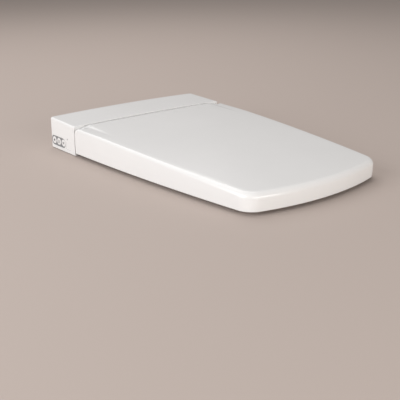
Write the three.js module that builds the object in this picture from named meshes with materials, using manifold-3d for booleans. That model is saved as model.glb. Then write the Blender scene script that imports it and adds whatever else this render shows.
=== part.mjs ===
// Electric bidet seat: a fixed housing with the electrics and a spray nozzle, a heated seat ring and a lid.
// Millimetres. +Z up, -Y is the front of the seat, +Y the wall side, +X the side away from the key panel.
// The origin is under the middle of the seat, on the plane of the toilet rim that it rests on.

import * as THREE from 'three';
import { mergeVertices } from 'three/addons/utils/BufferGeometryUtils.js';
import Module from 'manifold-3d';

const wasm = await Module();
wasm.setup();

// ---- driving dimensions ----

const LENGTH = 600; // wall to front edge
const HALF_WIDTH = 190; // at the widest place
const WIDEST = 92; // distance of the widest place from the wall
const SIDE_RADIUS = 4170; // the long, slightly bowed sides
const FRONT_RADIUS = 520; // the front edge
const CORNER_RADIUS = 34; // between side and front
const REAR_CORNER = 6;

const TOP_REAR = 64.3; // height of the side edge at the wall
const TOP_SLOPE = 19.8; // how far it drops over the whole length, straight part
const TOP_BOW = 8.85; // and the part that grows with the square of the distance
const CROWN = 3; // the middle stands this much above the side edges

const SEAM = 96.5; // front plane of the housing
const LID_START = 98.5;
const LID_BOTTOM = 6;
const SHELL = 3;
const GAP = 0.3; // between pieces that touch

const HINGE = 109; // distance of the hinge axis from the wall
const HINGE_Z = 53;
const LID_HEEL = 10.5; // radius of the lid's rounded rear edge about the axis
const LUG_RADIUS = 5.5;
const PIN_RADIUS = 2.5;

const RING_START = 122;
const RING_INSET = 8; // ring edge inside the lid's edge
const RING_DROP = 14; // ring top below the lid top
const RING_STEP = 29; // underside of the ring where it passes over the tray's ledge
const OPENING = { centre: 318, halfWidth: 108, halfLength: 150 };

const TRAY_BOTTOM = 2.5;
const LEDGE_TOP = 26;
const LEDGE_NOSE = 148; // front of the ledge that holds nozzle and dryer outlet
const LEDGE_HALF = 100;

const NOZZLE_SLOPE = THREE.MathUtils.degToRad(10);
const NOZZLE_TIP = { wall: 147, z: 12 }; // middle of the tip's front face, stowed
const NOZZLE_RADIUS = 5.5;

// ---- places and shapes ----

const fromWall = (s) => LENGTH / 2 - s;

const edgeHeight = (s) => TOP_REAR - TOP_SLOPE * (s / LENGTH) - TOP_BOW * (s / LENGTH) ** 2;

const crownAt = (x) => CROWN * (1 - (x / HALF_WIDTH) ** 2);

// A box from low to high corner, with y given as distances from the wall.
function block(x0, x1, near, far, z0, z1) {
  const shape = new THREE.BoxGeometry(x1 - x0, far - near, z1 - z0);
  return shape.translate((x0 + x1) / 2, fromWall((near + far) / 2), (z0 + z1) / 2);
}

// A plan outline raised from z0 to z1.
function raised(outline, z0, z1, curveSegments = 4) {
  const shape = new THREE.ExtrudeGeometry(outline, { depth: z1 - z0, bevelEnabled: false, curveSegments });
  return shape.translate(0, 0, z0);
}

// An outline in (distance from the wall, z), carried across from x0 to x1.
function across(points, x0, x1, steps = 1) {
  const outline = new THREE.Shape(points.map(([s, z]) => new THREE.Vector2(fromWall(s), z)));
  const shape = new THREE.ExtrudeGeometry(outline, { depth: x1 - x0, steps, bevelEnabled: false });
  const turn = new THREE.Matrix4().set(0, 0, 1, x0, 1, 0, 0, 0, 0, 1, 0, 0, 0, 0, 0, 1);
  return shape.applyMatrix4(turn);
}

// A round bar between two ends, each [x, distance from the wall, z].
function bar(start, end, radius, sides = 20, endRadius = radius) {
  const a = new THREE.Vector3(start[0], fromWall(start[1]), start[2]);
  const b = new THREE.Vector3(end[0], fromWall(end[1]), end[2]);
  const shape = new THREE.CylinderGeometry(endRadius, radius, a.distanceTo(b), sides);
  const along = b.clone().sub(a).normalize();
  shape.applyQuaternion(new THREE.Quaternion().setFromUnitVectors(new THREE.Vector3(0, 1, 0), along));
  const middle = a.add(b).multiplyScalar(0.5);
  return shape.translate(middle.x, middle.y, middle.z);
}

// A hose or duct of round section through points, each [x, distance from the wall, z].
function hose(points, radius, steps = 14, sides = 8) {
  const route = new THREE.CatmullRomCurve3(points.map(([x, s, z]) => new THREE.Vector3(x, fromWall(s), z)));
  const section = new THREE.Shape();
  for (let i = 0; i < sides; i++) {
    const angle = (i / sides) * 2 * Math.PI;
    const at = [radius * Math.cos(angle), radius * Math.sin(angle)];
    if (i === 0) section.moveTo(...at);
    else section.lineTo(...at);
  }
  section.closePath();
  return new THREE.ExtrudeGeometry(section, { steps, extrudePath: route, bevelEnabled: false });
}

// ---- joining and cutting ----

function solid(geometry) {
  const bare = geometry.clone();
  bare.deleteAttribute('normal');
  bare.deleteAttribute('uv');
  const merged = mergeVertices(bare, 1e-4);
  return new wasm.Manifold(new wasm.Mesh({
    numProp: 3,
    vertProperties: new Float32Array(merged.attributes.position.array),
    triVerts: new Uint32Array(merged.index.array),
  }));
}

const join = (first, ...rest) => rest.reduce((whole, piece) => whole.add(solid(piece)), solid(first));

const cut = (body, ...tools) => tools.reduce((rest, tool) => rest.subtract(solid(tool)), body);

function surface(body) {
  const mesh = body.getMesh();
  const geometry = new THREE.BufferGeometry();
  geometry.setAttribute('position', new THREE.BufferAttribute(new Float32Array(mesh.vertProperties), 3));
  geometry.setIndex(new THREE.BufferAttribute(new Uint32Array(mesh.triVerts), 1));
  geometry.computeVertexNormals();
  return geometry;
}

// ---- materials ----

const plastic = (color, roughness = 0.35) => new THREE.MeshStandardMaterial({ color, roughness });
const metal = (color, roughness = 0.35) => new THREE.MeshStandardMaterial({ color, roughness, metalness: 1 });

const glossWhite = plastic(0xf2f2f2, 0.2);
const satinWhite = plastic(0xe9e9e7, 0.45);
const greyPlastic = plastic(0x8b8e92, 0.5);
const blackPlastic = plastic(0x26282b, 0.5);
const panelGrey = plastic(0x3f4347, 0.35);
const smokedLens = plastic(0x55585c, 0.15);
const rubber = plastic(0xb9bbbd, 0.9);
const siliconeHose = plastic(0xd9dde0, 0.6);
const circuitGreen = plastic(0x2f6b45, 0.5);
const heaterFoil = metal(0xc9ccd0, 0.4);
const steel = metal(0xb4b7bb, 0.3);
const brass = metal(0xc0a055, 0.35);
const carbon = plastic(0x1c1d1e, 0.95);

const seat = new THREE.Group();

// Adds one piece. It takes a geometry or a body that has been joined or cut.
function piece(name, shape, material) {
  const mesh = new THREE.Mesh(shape.isBufferGeometry ? shape : surface(shape), material);
  mesh.name = name;
  seat.add(mesh);
}

const SIDES = [['left', 1], ['right', -1]]; // the user's left is +X when seated and facing forward

// ---- outlines ----

const sideCentre = { x: HALF_WIDTH - SIDE_RADIUS, y: fromWall(WIDEST) };
const frontCentre = { x: 0, y: fromWall(LENGTH) + FRONT_RADIUS };

// The corner's centre: one corner radius inside both the side arc and the front arc.
const cornerCentre = (() => {
  const side = SIDE_RADIUS - CORNER_RADIUS;
  const front = FRONT_RADIUS - CORNER_RADIUS;
  const dx = frontCentre.x - sideCentre.x;
  const dy = frontCentre.y - sideCentre.y;
  const apart = Math.hypot(dx, dy);
  const along = (side ** 2 - front ** 2 + apart ** 2) / (2 * apart);
  const off = Math.sqrt(side ** 2 - along ** 2);
  return {
    x: sideCentre.x + (along * dx + off * dy) / apart,
    y: sideCentre.y + (along * dy - off * dx) / apart,
  };
})();
const sideEnd = Math.atan2(cornerCentre.y - sideCentre.y, cornerCentre.x - sideCentre.x);
const frontEnd = Math.atan2(cornerCentre.y - frontCentre.y, cornerCentre.x - frontCentre.x);

// The whole seat's plan from one distance from the wall to the front edge.
function seatOutline(inset, start) {
  const side = SIDE_RADIUS - inset;
  const corner = CORNER_RADIUS - inset;
  const rear = Math.asin((fromWall(start) - sideCentre.y) / side);
  const outline = new THREE.Shape();
  outline.absarc(sideCentre.x, sideCentre.y, side, rear, sideEnd, true);
  outline.absarc(cornerCentre.x, cornerCentre.y, corner, sideEnd, frontEnd, true);
  outline.absarc(frontCentre.x, frontCentre.y, FRONT_RADIUS - inset, frontEnd, -Math.PI - frontEnd, true);
  outline.absarc(-cornerCentre.x, cornerCentre.y, corner, -Math.PI - frontEnd, -Math.PI - sideEnd, true);
  outline.absarc(-sideCentre.x, sideCentre.y, side, -Math.PI - sideEnd, -Math.PI - rear, true);
  outline.closePath();
  return outline;
}

// The housing's plan from the wall to one distance from it.
function housingOutline(inset, end) {
  const side = SIDE_RADIUS - inset;
  const corner = Math.max(REAR_CORNER - inset, 1);
  const front = Math.asin((fromWall(end) - sideCentre.y) / side);
  const cornerY = fromWall(inset) - corner;
  const turn = Math.asin((cornerY - sideCentre.y) / (side - corner));
  const cornerX = sideCentre.x + (side - corner) * Math.cos(turn);
  const outline = new THREE.Shape();
  outline.absarc(sideCentre.x, sideCentre.y, side, front, turn, false);
  outline.absarc(cornerX, cornerY, corner, turn, Math.PI / 2, false);
  outline.absarc(-cornerX, cornerY, corner, Math.PI / 2, Math.PI - turn, false);
  outline.absarc(-sideCentre.x, sideCentre.y, side, Math.PI - turn, Math.PI - front, false);
  outline.closePath();
  return outline;
}

function openingOutline(grow) {
  const outline = new THREE.Shape();
  const y = fromWall(OPENING.centre);
  outline.absellipse(0, y, OPENING.halfWidth + grow, OPENING.halfLength + grow, 0, 2 * Math.PI, false);
  return outline;
}

// A capsule with its long side along the wall-to-front direction, middle at the origin.
function capsule(length, width) {
  const radius = width / 2;
  const straight = length / 2 - radius;
  const outline = new THREE.Shape();
  outline.absarc(0, straight, radius, 0, Math.PI, false);
  outline.absarc(0, -straight, radius, Math.PI, 2 * Math.PI, false);
  outline.closePath();
  return outline;
}

// The space below the top surface, lowered by drop and ending at z0.
function underTop(drop, near, far, z0, crown = true) {
  const stations = 8;
  const points = [[near, z0]];
  for (let i = 0; i <= stations; i++) {
    const s = near + ((far - near) * i) / stations;
    points.push([s, edgeHeight(s) - drop]);
  }
  points.push([far, z0]);
  const reach = HALF_WIDTH + 10;
  const shape = across(points, -reach, reach, 8);
  const position = shape.attributes.position;
  for (let i = 0; i < position.count; i++) {
    if (crown && position.getZ(i) > z0 + 1) position.setZ(i, position.getZ(i) + crownAt(position.getX(i)));
  }
  return shape;
}

// ---- rear cover: the housing's outer shell ----

const ABOVE = 90; // higher than anything on the seat
const PANEL = { near: 4.5, far: 60, z0: 8, z1: 28, face: 188.7, depth: 2.2 };
const KEY_PITCH = 17.8;
const KEY_RADIUS = 7.6;
const panelMiddle = { s: (PANEL.near + PANEL.far) / 2, z: (PANEL.z0 + PANEL.z1) / 2 };
const keyPlaces = [-1, 0, 1].map((i) => panelMiddle.s + i * KEY_PITCH);
const LENS = { s: 68, z: 29.5, radius: 1.5 };
const WINDOW = { near: 62.6, far: 79.6, z0: 8, z1: 22 };
const INLET = { x: 113, z: 22, radius: 10 };
const GLAND = { x: -120, z: 22, radius: 7 };
const RELEASE = { s: 40, z: 18, radius: 8 };
const COVER_SCREWS = [20, 78].flatMap((s) => [165, -165].map((x) => [x, s]));
const SCREW = { head: 3, shaft: 1.5, bottom: 2.7, shoulder: 4.4, top: 16 };

function panelPlate(grow, x0, x1) {
  const outline = capsule(PANEL.far - PANEL.near + 2 * grow, PANEL.z1 - PANEL.z0 + 2 * grow);
  const shape = new THREE.ExtrudeGeometry(outline, { depth: x1 - x0, bevelEnabled: false, curveSegments: 8 });
  // outline x goes up, outline y goes to the wall, and the depth goes along x
  const turn = new THREE.Matrix4().set(0, 0, 1, x0, 0, 1, 0, fromWall(panelMiddle.s), -1, 0, 0, panelMiddle.z, 0, 0, 0, 1);
  return shape.applyMatrix4(turn);
}

let cover = solid(raised(housingOutline(0, SEAM), 1, ABOVE))
  .intersect(solid(underTop(0, -1, SEAM + 1, 0)))
  .subtract(solid(raised(housingOutline(SHELL, SEAM - SHELL), 0, ABOVE))
    .intersect(solid(underTop(SHELL, -1, SEAM + 1, -1))));
for (const [x, s] of COVER_SCREWS) {
  cover = cover.add(solid(bar([x, s, 8], [x, s, edgeHeight(s) - 1], 4.5, 12)));
  cover = cut(cover, bar([x, s, 7], [x, s, SCREW.top + 1], SCREW.shaft + GAP, 10));
}
cover = cut(
  cover,
  block(-171, 171, SEAM - SHELL - 1, SEAM + 1, 0, LEDGE_TOP + 1),
  block(-27, 27, SEAM - SHELL - 1, SEAM + 1, LEDGE_TOP, 36),
  panelPlate(GAP, -195, -180),
  bar([-195, LENS.s, LENS.z], [-180, LENS.s, LENS.z], LENS.radius + GAP, 12),
  block(-195, -180, WINDOW.near - GAP, WINDOW.far + GAP, WINDOW.z0 - GAP, WINDOW.z1 + GAP),
  bar([180, RELEASE.s, RELEASE.z], [195, RELEASE.s, RELEASE.z], RELEASE.radius + GAP, 24),
  bar([INLET.x, -5, INLET.z], [INLET.x, 6, INLET.z], INLET.radius + 1, 24),
  bar([GLAND.x, -5, GLAND.z], [GLAND.x, 6, GLAND.z], GLAND.radius + 1, 20),
);
piece('rear_cover', cover, glossWhite);

// ---- base tray: carries everything inside the housing, with a ledge under the rear of the ring ----

const TRAY_INSET = SHELL + 0.5;
const FLOOR = TRAY_BOTTOM + SHELL;
const PLATE = { halfWidth: 92, near: 28, far: 78, top: 4, slotX: 77.5, slotLength: 26, slotWidth: 10 };
const HINGE_ZONE = 168; // half width of the ledge behind the ring
const BUMP = { half: 25, far: 119, top: 34 }; // room for the stowed nozzle
const GRILLE = { x0: -80, x1: -50, z0: 8, z1: 20 };

// A point on the nozzle's axis, a distance behind the stowed tip and a height above the axis.
function nozzleAt(behind, above = 0) {
  const s = NOZZLE_TIP.wall - behind * Math.cos(NOZZLE_SLOPE) + above * Math.sin(NOZZLE_SLOPE);
  const z = NOZZLE_TIP.z + behind * Math.sin(NOZZLE_SLOPE) + above * Math.cos(NOZZLE_SLOPE);
  return { s, z };
}

function nozzleBar(x, front, back, radius, sides = 20) {
  const a = nozzleAt(front);
  const b = nozzleAt(back);
  return bar([x, a.s, a.z], [x, b.s, b.z], radius, sides);
}

// A box that lies along the nozzle's axis.
function nozzleBlock(halfWidth, front, back, low, high) {
  const shape = new THREE.BoxGeometry(2 * halfWidth, back - front, high - low);
  const middle = nozzleAt((front + back) / 2, (low + high) / 2);
  return shape.rotateX(NOZZLE_SLOPE).translate(0, fromWall(middle.s), middle.z);
}

const RACK = { half: 1.5, low: NOZZLE_RADIUS - 0.5, high: 7.8 };
let tray = join(
  raised(housingOutline(TRAY_INSET, SEAM - 4), TRAY_BOTTOM, 22),
  block(-HINGE_ZONE, HINGE_ZONE, 88, 120, TRAY_BOTTOM, LEDGE_TOP),
  block(-LEDGE_HALF, LEDGE_HALF, 88, LEDGE_NOSE, TRAY_BOTTOM, LEDGE_TOP),
  block(-BUMP.half, BUMP.half, 88, BUMP.far, TRAY_BOTTOM, BUMP.top),
);
tray = tray.subtract(join(
  raised(housingOutline(TRAY_INSET + SHELL, SEAM - 4 - SHELL), FLOOR, ABOVE),
  block(-HINGE_ZONE + SHELL, HINGE_ZONE - SHELL, 80, 120 - SHELL, FLOOR, LEDGE_TOP - SHELL),
  block(-LEDGE_HALF + SHELL, LEDGE_HALF - SHELL, 80, LEDGE_NOSE - SHELL, FLOOR, LEDGE_TOP - SHELL),
  block(-BUMP.half + SHELL, BUMP.half - SHELL, 80, BUMP.far - SHELL, FLOOR, BUMP.top - SHELL),
));
tray = tray.add(solid(block(-PLATE.halfWidth - SHELL, PLATE.halfWidth + SHELL, PLATE.near - SHELL,
  PLATE.far + SHELL, TRAY_BOTTOM, PLATE.top + GAP + SHELL)));
tray = cut(
  tray,
  block(-PLATE.halfWidth - GAP, PLATE.halfWidth + GAP, PLATE.near - GAP, PLATE.far + GAP, 0, PLATE.top + GAP),
  block(-195, -181, 5.5, 84, 6.5, ABOVE),
  block(181, 195, 5.5, 84, 6.5, ABOVE),
  block(INLET.x - 14, INLET.x + 14, -5, 12, 8, ABOVE),
  block(GLAND.x - 12, GLAND.x + 12, -5, 12, 8, ABOVE),
  nozzleBar(0, -12, 50, NOZZLE_RADIUS + 0.7),
  nozzleBlock(RACK.half + 0.5, -12, 50, 0, RACK.high + 0.4),
  block(GRILLE.x0 - GAP, GRILLE.x1 + GAP, LEDGE_NOSE - 5, LEDGE_NOSE + 1, GRILLE.z0 - GAP, GRILLE.z1 + GAP),
);
for (const [x, s] of COVER_SCREWS) {
  tray = cut(
    tray,
    bar([x, s, 0], [x, s, SCREW.shoulder + GAP], SCREW.head + GAP, 14),
    bar([x, s, 0], [x, s, 20], SCREW.shaft + GAP, 10),
  );
}
piece('base_tray', tray, satinWhite);

COVER_SCREWS.forEach(([x, s], i) => {
  const profile = [[0, SCREW.bottom], [SCREW.head, SCREW.bottom], [SCREW.head, SCREW.shoulder],
    [SCREW.shaft, SCREW.shoulder], [SCREW.shaft, SCREW.top], [0, SCREW.top]];
  const screw = new THREE.LatheGeometry(profile.map(([r, z]) => new THREE.Vector2(r, z)), 12);
  piece(`cover_screw_${i + 1}`, screw.rotateX(Math.PI / 2).translate(x, fromWall(s), 0), steel);
});

// ---- what the seat rests on and is fixed by ----

let plate = solid(block(-PLATE.halfWidth, PLATE.halfWidth, PLATE.near, PLATE.far, 0, PLATE.top));
for (const [, sign] of SIDES) {
  const slot = raised(capsule(PLATE.slotLength, PLATE.slotWidth), -1, PLATE.top + 1);
  plate = cut(plate, slot.translate(sign * PLATE.slotX, fromWall((PLATE.near + PLATE.far) / 2), 0));
}
piece('mounting_plate', plate, steel);

const BASE_PADS = [[150, 45], [-150, 45], [84, 132], [-84, 132]];
BASE_PADS.forEach(([x, s], i) => {
  piece(`base_pad_${i + 1}`, bar([x, s, 0], [x, s, TRAY_BOTTOM - GAP], 10, 20), rubber);
});

// ---- hinges: ring and lid turn about the same two pins ----

const POST = { x0: 140, x1: 158, near: HINGE - 2.5, far: HINGE + LUG_RADIUS };
const RING_LUG = { x0: 118, x1: 138 };
const LID_LUG = { x0: 160, x1: 176 };
const DAMPER = { x0: 64, x1: 114, radius: 6.3 };

// A range of x on one side of the seat, low end first.
const onSide = (sign, x0, x1) => (sign > 0 ? [x0, x1] : [-x1, -x0]);

function hingeBar(sign, x0, x1, radius, sides = 24) {
  return bar([sign * x0, HINGE, HINGE_Z], [sign * x1, HINGE, HINGE_Z], radius, sides);
}

for (const [side, sign] of SIDES) {
  const post = join(
    block(...onSide(sign, POST.x0, POST.x1), POST.near, POST.far, LEDGE_TOP + GAP, HINGE_Z),
    hingeBar(sign, POST.x0, POST.x1, LUG_RADIUS),
  );
  piece(`hinge_post_${side}`, cut(post, hingeBar(sign, POST.x0 - 1, POST.x1 + 1, PIN_RADIUS + GAP, 16)), greyPlastic);
  piece(`hinge_pin_${side}`, hingeBar(sign, RING_LUG.x0 - 1, LID_LUG.x1 + 1, PIN_RADIUS, 16), steel);
  const damper = join(
    block(...onSide(sign, DAMPER.x0 + 6, DAMPER.x1 - 6), HINGE - 2, HINGE + 5, LEDGE_TOP + GAP, HINGE_Z),
    hingeBar(sign, DAMPER.x0, DAMPER.x1, DAMPER.radius),
  );
  piece(sign > 0 ? 'seat_damper' : 'lid_damper', damper, greyPlastic);
}

// ---- seat ring: a heated top shell on a base plate ----

const RING_BOTTOM = LID_BOTTOM;
const STEP = { half: LEDGE_HALF + 4, far: 172 }; // back of the opening, so that the nozzle passes

const stepSpace = (grow) => block(-STEP.half - grow, STEP.half + grow, 80, STEP.far + grow, -1, RING_STEP + grow);

const ringSpace = (inset, drop, z0) => solid(raised(seatOutline(RING_INSET + inset, RING_START + inset), z0, ABOVE))
  .subtract(solid(raised(openingOutline(inset), -1, ABOVE + 1, 20)))
  .intersect(solid(underTop(RING_DROP + drop, RING_START - 1, LENGTH + 1, -2, false)));

let ringTop = ringSpace(0, 0, RING_BOTTOM).subtract(solid(stepSpace(0))).subtract(ringSpace(SHELL, SHELL, -1));
for (const [, sign] of SIDES) {
  ringTop = ringTop
    .add(solid(block(...onSide(sign, RING_LUG.x0, RING_LUG.x1), HINGE, RING_START + 1, 40, HINGE_Z - 1)
      ).intersect(solid(underTop(RING_DROP - 4, 100, RING_START + 5, 0, false))))
    .add(solid(hingeBar(sign, RING_LUG.x0, RING_LUG.x1, LUG_RADIUS)))
    .subtract(solid(hingeBar(sign, RING_LUG.x0 - 1, RING_LUG.x1 + 1, PIN_RADIUS + GAP, 16)));
}
piece('seat_top', ringTop, glossWhite);

const baseInset = SHELL + GAP;
const seatBase = solid(raised(seatOutline(RING_INSET + baseInset, RING_START + baseInset), RING_BOTTOM, RING_STEP + SHELL))
  .subtract(solid(raised(openingOutline(baseInset), -1, ABOVE, 20)))
  .subtract(solid(stepSpace(0)))
  .subtract(solid(block(-200, 200, 80, LENGTH, RING_BOTTOM + SHELL, ABOVE)).subtract(solid(stepSpace(SHELL))));
piece('seat_base', seatBase, satinWhite);

const heaterInset = 14;
const heater = ringSpace(heaterInset, SHELL + GAP, -1).subtract(ringSpace(heaterInset - 1, SHELL + GAP + 0.8, -2));
piece('seat_heater', heater, heaterFoil);

const SEAT_BUMPERS = [[142, 215], [-142, 215], [112, 520], [-112, 520]];
SEAT_BUMPERS.forEach(([x, s], i) => {
  piece(`seat_bumper_${i + 1}`, bar([x, s, 0], [x, s, RING_BOTTOM - GAP], 9, 20, 8), rubber);
});

// ---- lid ----

const SKIN = 2.5;
const LINER = { start: 135, thickness: 2.5 };

const heelWaste = solid(block(-200, 200, LID_START - 5, HINGE, HINGE_Z, ABOVE))
  .subtract(solid(bar([-205, HINGE, HINGE_Z], [205, HINGE, HINGE_Z], LID_HEEL, 48)));
const lidOuter = solid(raised(seatOutline(0, LID_START), LID_BOTTOM, ABOVE))
  .intersect(solid(underTop(0, LID_START - 1, LENGTH + 1, 0)))
  .subtract(heelWaste);
const lidInner = solid(raised(seatOutline(SHELL, LID_START - 10), 0, ABOVE))
  .intersect(solid(underTop(SKIN, LID_START - 11, LENGTH + 1, -1)));
let lid = lidOuter.subtract(lidInner);
for (const [, sign] of SIDES) {
  const lug = join(
    block(...onSide(sign, LID_LUG.x0, LID_LUG.x1), HINGE - LUG_RADIUS, HINGE + LUG_RADIUS, HINGE_Z, ABOVE - 1),
    hingeBar(sign, LID_LUG.x0, LID_LUG.x1, LUG_RADIUS),
  );
  lid = lid.add(lug.intersect(lidOuter));
  lid = lid.subtract(solid(hingeBar(sign, LID_LUG.x0 - 1, LID_LUG.x1 + 2, PIN_RADIUS + GAP, 16)));
}
piece('lid_shell', lid, glossWhite);

const liner = solid(raised(seatOutline(SHELL + 1.5, LINER.start), 0, ABOVE))
  .intersect(solid(underTop(SKIN + GAP, LINER.start - 1, LENGTH + 1, 0)))
  .subtract(solid(underTop(SKIN + GAP + LINER.thickness, LINER.start - 2, LENGTH + 2, -1)));
piece('lid_liner', liner, satinWhite);

const LID_BUMPERS = [[138, 235], [-138, 235], [118, 500], [-118, 500]];
LID_BUMPERS.forEach(([x, s], i) => {
  const low = edgeHeight(s) - RING_DROP + 2 * GAP;
  const high = edgeHeight(s) + crownAt(x) - SKIN - LINER.thickness - 3 * GAP;
  piece(`lid_bumper_${i + 1}`, bar([x, s, low], [x, s, high], 5, 16), rubber);
});

// ---- key panel on the user's right ----

let panel = solid(panelPlate(0, -PANEL.face, -PANEL.face + PANEL.depth));
for (const s of keyPlaces) {
  panel = cut(panel, bar([-195, s, panelMiddle.z], [-180, s, panelMiddle.z], KEY_RADIUS + GAP, 24));
}
piece('panel_bezel', panel, panelGrey);

['stop', 'wash', 'dry'].forEach((job, i) => {
  const at = (x) => [-x, keyPlaces[i], panelMiddle.z];
  const face = PANEL.face + 0.2;
  const behind = PANEL.face - PANEL.depth - GAP;
  piece(`key_${job}`, join(
    bar(at(face), at(behind), KEY_RADIUS, 24),
    bar(at(behind), at(behind - 1), KEY_RADIUS + 1, 24),
    bar(at(behind - 0.5), at(behind - 2.5), 2, 10),
  ), glossWhite);
});
piece('status_lens', bar([-189.2, LENS.s, LENS.z], [-186.5, LENS.s, LENS.z], LENS.radius, 12), smokedLens);
piece('receiver_window', block(-189.2, -187, WINDOW.near, WINDOW.far, WINDOW.z0, WINDOW.z1), glossWhite);

piece('release_button', join(
  bar([189.2, RELEASE.s, RELEASE.z], [186, RELEASE.s, RELEASE.z], RELEASE.radius, 24),
  bar([186, RELEASE.s, RELEASE.z], [184.5, RELEASE.s, RELEASE.z], RELEASE.radius + 1, 24),
), greyPlastic);

piece('control_board', join(
  block(-179, -177.4, 8, 84, 9, 42),
  ...keyPlaces.map((s) => block(-181.5, -178.5, s - 3, s + 3, panelMiddle.z - 3, panelMiddle.z + 3)),
), circuitGreen);

// ---- spray nozzle ----

const WAND = { front: 12.3, back: 105 };
piece('nozzle_wand', nozzleBar(0, WAND.front, WAND.back, NOZZLE_RADIUS), steel);
const tip = nozzleBar(0, 0, WAND.front - GAP, NOZZLE_RADIUS);
const sprayHole = [0, nozzleAt(6, NOZZLE_RADIUS - 1.5), nozzleAt(6, NOZZLE_RADIUS + 1)];
piece('nozzle_tip', cut(solid(tip), bar(
  [0, sprayHole[1].s, sprayHole[1].z],
  [0, sprayHole[2].s, sprayHole[2].z],
  1.4,
  10,
)), glossWhite);
const rackClear = NOZZLE_RADIUS + GAP;
piece('nozzle_rack', nozzleBlock(RACK.half, 14, WAND.back - 1, rackClear, RACK.high), greyPlastic);

const PINION = { behind: 73, radius: 6, root: 5.1, teeth: 12, halfWidth: 2.5 };
const pinionAt = nozzleAt(PINION.behind, RACK.high + GAP + PINION.radius);
const gearPoints = [];
for (let i = 0; i < PINION.teeth; i++) {
  for (const [step, radius] of [[0, PINION.root], [0.3, PINION.root], [0.45, PINION.radius], [0.75, PINION.radius]]) {
    const angle = ((i + step) / PINION.teeth) * 2 * Math.PI;
    gearPoints.push([pinionAt.s + radius * Math.cos(angle), pinionAt.z + radius * Math.sin(angle)]);
  }
}
const pinionBar = (x0, x1, radius, sides) => bar([x0, pinionAt.s, pinionAt.z], [x1, pinionAt.s, pinionAt.z], radius, sides);
piece('nozzle_pinion', cut(
  solid(across(gearPoints, -PINION.halfWidth, PINION.halfWidth)),
  pinionBar(-4, 4, 1.8, 12),
), brass);
piece('nozzle_motor', join(pinionBar(5, 26, 9, 20), pinionBar(-3.5, 6, 1.5, 12)), metal(0x9a9da1));

const cradle = solid(nozzleBlock(11, 50, 100, -11, 0)).add(solid(block(-8, 8, 60, 70, 7.8, 16)));
piece('nozzle_cradle', cut(cradle, nozzleBar(0, 40, 110, NOZZLE_RADIUS + GAP)), greyPlastic);

// ---- water: inlet, valve and heater ----

const inlet = join(
  bar([INLET.x, 1, INLET.z], [INLET.x, 13, INLET.z], INLET.radius, 24),
  bar([INLET.x, 6.3, INLET.z], [INLET.x, 10, INLET.z], INLET.radius + 3, 24),
);
piece('water_inlet', cut(inlet, bar([INLET.x, -1, INLET.z], [INLET.x, 14, INLET.z], 5, 16)), brass);
piece('solenoid_valve', join(
  block(100, 127, 14, 50, 9, 34),
  bar([113.5, 32, 33], [113.5, 32, 50], 9, 20),
), blackPlastic);
piece('water_heater', join(
  block(42, 88, 18, 78, 9, 42),
  bar([50, 48, 41], [50, 48, 47], 4, 12),
), satinWhite);
piece('air_pump', join(block(98, 131, 56, 86, 9, 26), bar([98, 71, 18], [92, 71, 18], 4, 12)), blackPlastic);
piece('inlet_hose', bar([99.6, 25, 24], [88.4, 25, 24], 3, 12), siliconeHose);
const heaterOutlet = [41.6, 59.4, 21.4];
const cradleInlet = [11.4, 59.4, 21.4];
piece('nozzle_hose', hose([heaterOutlet, [35, 59.4, 21.4], [26, 57, 24], [18, 59.4, 21.4], cradleInlet], 3), siliconeHose);

// ---- warm air: fan, duct and outlet grille ----

const FAN = { x: -65, s: 48, radius: 20, low: 9, high: 33 };
const fanBar = (z0, z1, radius, sides = 28) => bar([FAN.x, FAN.s, z0], [FAN.x, FAN.s, z1], radius, sides);
piece('dryer_housing', cut(
  solid(fanBar(FAN.low, FAN.high, FAN.radius)),
  fanBar(FAN.low + 2, FAN.high - 2, FAN.radius - 2),
  fanBar(FAN.high - 3, FAN.high + 1, 9, 20),
  block(FAN.x - 12, FAN.x + 12, FAN.s + 10, FAN.s + 25, 12, 18.5),
), blackPlastic);
let impeller = solid(fanBar(13, 15, 14, 24));
for (let i = 0; i < 8; i++) {
  const blade = new THREE.BoxGeometry(8, 1.2, 12).translate(10, 0, 20).rotateZ((i / 8) * 2 * Math.PI);
  impeller = impeller.add(solid(blade.translate(FAN.x, fromWall(FAN.s), 0)));
}
piece('dryer_impeller', cut(impeller.add(solid(fanBar(14, 26, 4, 12))), fanBar(12, 27, 1.8, 12)), greyPlastic);
piece('dryer_motor', join(fanBar(36, 50, 11), fanBar(14, 37, 1.5, 10)), metal(0x9a9da1));
piece('dryer_duct', cut(
  solid(block(FAN.x - 15, FAN.x + 15, FAN.s + FAN.radius + GAP, LEDGE_NOSE - 6, 8, 21.5)),
  block(FAN.x - 13.5, FAN.x + 13.5, FAN.s + 10, LEDGE_NOSE, 9.5, 20),
), satinWhite);
let grille = solid(block(GRILLE.x0, GRILLE.x1, LEDGE_NOSE - 2.8, LEDGE_NOSE - 0.3, GRILLE.z0, GRILLE.z1));
for (let i = 0; i < 6; i++) {
  const x = GRILLE.x0 + 3 + i * 4.3;
  grille = cut(grille, block(x, x + 2.4, LEDGE_NOSE - 4, LEDGE_NOSE + 1, GRILLE.z0 + 2, GRILLE.z1 - 2));
}
piece('dryer_grille', grille, greyPlastic);

// ---- odour filter, power and boards ----

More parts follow.
